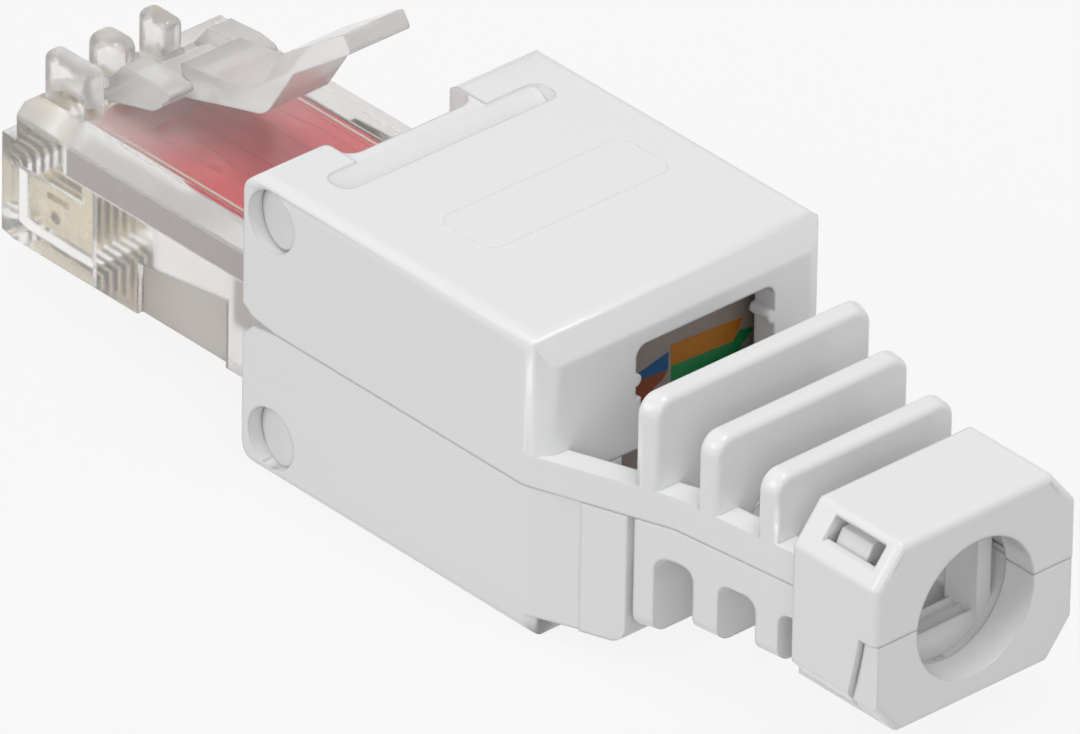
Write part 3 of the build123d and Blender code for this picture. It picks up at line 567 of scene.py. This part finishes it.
def makeTraces(spec):
    inputs = {
        "Geometry": "NodeSocketGeometry", "Line Radius": "NodeSocketFloat",
        "Material": "NodeSocketMaterial"}
    tree, source, output = geometryTree("boardTraces", inputs)
    paths = addNode(tree, "GeometryNodeMeshToCurve")
    line = addNode(tree, "GeometryNodeCurvePrimitiveCircle", Resolution=spec["lineSides"])
    sweep = addNode(tree, "GeometryNodeCurveToMesh", Fill_Caps=True)
    link = tree.links.new
    link(source.outputs["Geometry"], paths.inputs["Mesh"])
    link(source.outputs["Line Radius"], line.inputs["Radius"])
    link(paths.outputs["Curve"], sweep.inputs["Curve"])
    link(line.outputs["Curve"], sweep.inputs["Profile Curve"])
    endTree(tree, sweep.outputs["Mesh"], source, output)
    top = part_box("circuit_board")[1].z + spec["proud"] * mm - spec["Line Radius"]
    bends = [alongPlug(spec[key]) for key in ("start", "straight", "spread", "end")]
    verts, edges = [], []
    for number in range(spec["count"]):
        x = (number - (spec["count"] - 1) / 2) * spec["pitch"]
        wide = x * (spec["fan"] if number % 2 else 1.0)
        first = len(verts)
        verts += [(side * mm, y, top) for side, y in zip((x, x, wide, wide), bends)]
        edges += [(first + step, first + step + 1) for step in range(len(bends) - 1)]
    mesh = bpy.data.meshes.new("trace_paths")
    mesh.from_pydata(verts, edges, [])
    values = {"Line Radius": spec["Line Radius"], "Material": redTrace}
    piece = growTree("board_traces", tree, values, mesh)
    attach(piece, "plug")


makeTraces(traceSpec)
print("board traces ready")


# stage, light and camera

stageSpec = {"size": 3.0, "white": 1.0, "shadowShare": 0.12, "albedo": 0.5, "roughness": 0.8}


def seenRays(tree, kinds):    # 1 for the rays named, 0 for the rest
    rays = addNode(tree, "ShaderNodeLightPath")
    total = rays.outputs[kinds[0]]
    for kind in kinds[1:]:
        add = addNode(tree, "ShaderNodeMath", {"operation": "ADD", "use_clamp": True})
        tree.links.new(total, add.inputs[0])
        tree.links.new(rays.outputs[kind], add.inputs[1])
        total = add.outputs[0]
    return total


def makeFloor(spec):
    half = spec["size"] / 2
    mesh = bpy.data.meshes.new("floor")
    corners = [(-half, -half, 0), (half, -half, 0), (half, half, 0), (-half, half, 0)]
    mesh.from_pydata(corners, [], [(0, 1, 2, 3)])
    floor = sceneObject("floor", mesh)
    mat, tree, shader = newMaterial("floorWhite")
    shader.inputs["Base Color"].default_value = (spec["albedo"], spec["albedo"], spec["albedo"], 1)
    shader.inputs["Roughness"].default_value = spec["roughness"]
    surface = shader.outputs["BSDF"]
    glow = addNode(tree, "ShaderNodeEmission", Strength=spec["white"])
    through = addNode(tree, "ShaderNodeBsdfTransparent")    # what swings below the floor still shows
    looks = (
        (["Is Glossy Ray"], glow.outputs["Emission"]),
        (["Is Camera Ray", "Is Transmission Ray", "Is Shadow Ray"], through.outputs["BSDF"]),
    )
    for kinds, look in looks:
        share = worked(tree, "MULTIPLY", seenRays(tree, kinds), 1 - spec["shadowShare"])
        mix = addNode(tree, "ShaderNodeMixShader")
        tree.links.new(share, mix.inputs["Fac"])
        tree.links.new(surface, mix.inputs[1])
        tree.links.new(look, mix.inputs[2])
        surface = mix.outputs["Shader"]
    tree.links.new(surface, tree.nodes["Material Output"].inputs["Surface"])
    floor.data.materials.append(mat)


worldSpec = {"light": 0.5, "seen": 1.0}    # what it lights with, and how it looks


def makeWorld(spec):
    world = bpy.data.worlds.new("studio")
    bpy.context.scene.world = world
    world.use_nodes = True
    tree = world.node_tree
    back = tree.nodes["Background"]
    back.inputs["Color"].default_value = (1, 1, 1, 1)
    back.inputs["Strength"].default_value = spec["light"]
    bright = addNode(tree, "ShaderNodeBackground", Color=(1, 1, 1, 1), Strength=spec["seen"])
    mix = addNode(tree, "ShaderNodeMixShader")
    tree.links.new(seenRays(tree, ["Is Camera Ray", "Is Transmission Ray"]), mix.inputs["Fac"])
    tree.links.new(back.outputs["Background"], mix.inputs[1])
    tree.links.new(bright.outputs["Background"], mix.inputs[2])
    tree.links.new(mix.outputs["Shader"], tree.nodes["World Output"].inputs["Surface"])


lampSpec = {
    "overhead": {"place": (0.0, 0.18, 0.9), "size": 0.35, "watts": 2.75},
    "side": {"place": (0.9, -0.25, 0.45), "size": 0.5, "watts": 2.4},
    "fill": {"place": (0.5, 0.75, 0.45), "size": 0.4, "watts": 1.0},
}


def makeLamp(name, spec):
    data = bpy.data.lights.new(name, "AREA")
    data.energy = spec["watts"]
    data.size = spec["size"]
    lamp = sceneObject(name, data)
    lamp.location = spec["place"]
    lamp.rotation_mode = "QUATERNION"
    lamp.rotation_quaternion = Vector(spec["place"]).to_track_quat("Z", "Y")
    lamp.visible_camera = False


cameraSpec = {
    "azimuth": 137.625, "elevation": 31.754, "roll": 1.007, "distance": 0.948, "lens": 770.4,
    "target": (-0.116, 0.245, 5.746), "sensor": 36.0, "clip": (0.05, 20.0),
}


def makeCamera(spec):
    turn, lift, roll = (radians(spec[key]) for key in ("azimuth", "elevation", "roll"))
    back = Vector((sin(turn) * cos(lift), -cos(turn) * cos(lift), sin(lift)))
    right = Vector((0, 0, 1)).cross(back).normalized()
    up = back.cross(right)
    tiltedRight = cos(roll) * right + sin(roll) * up
    tiltedUp = cos(roll) * up - sin(roll) * right
    turned = Matrix((tiltedRight, tiltedUp, back)).transposed().to_4x4()
    data = bpy.data.cameras.new("camera")
    data.lens = spec["lens"]
    data.sensor_width = spec["sensor"]
    data.clip_start, data.clip_end = spec["clip"]
    camera = sceneObject("camera", data)
    place = Vector(spec["target"]) * mm + spec["distance"] * back
    camera.matrix_world = Matrix.Translation(place) @ turned
    bpy.context.scene.camera = camera


makeFloor(stageSpec)
makeWorld(worldSpec)
for name, spec in lampSpec.items():
    makeLamp(name, spec)
makeCamera(cameraSpec)
bpy.context.scene.view_settings.view_transform = "Standard"
print("stage, light and camera ready")
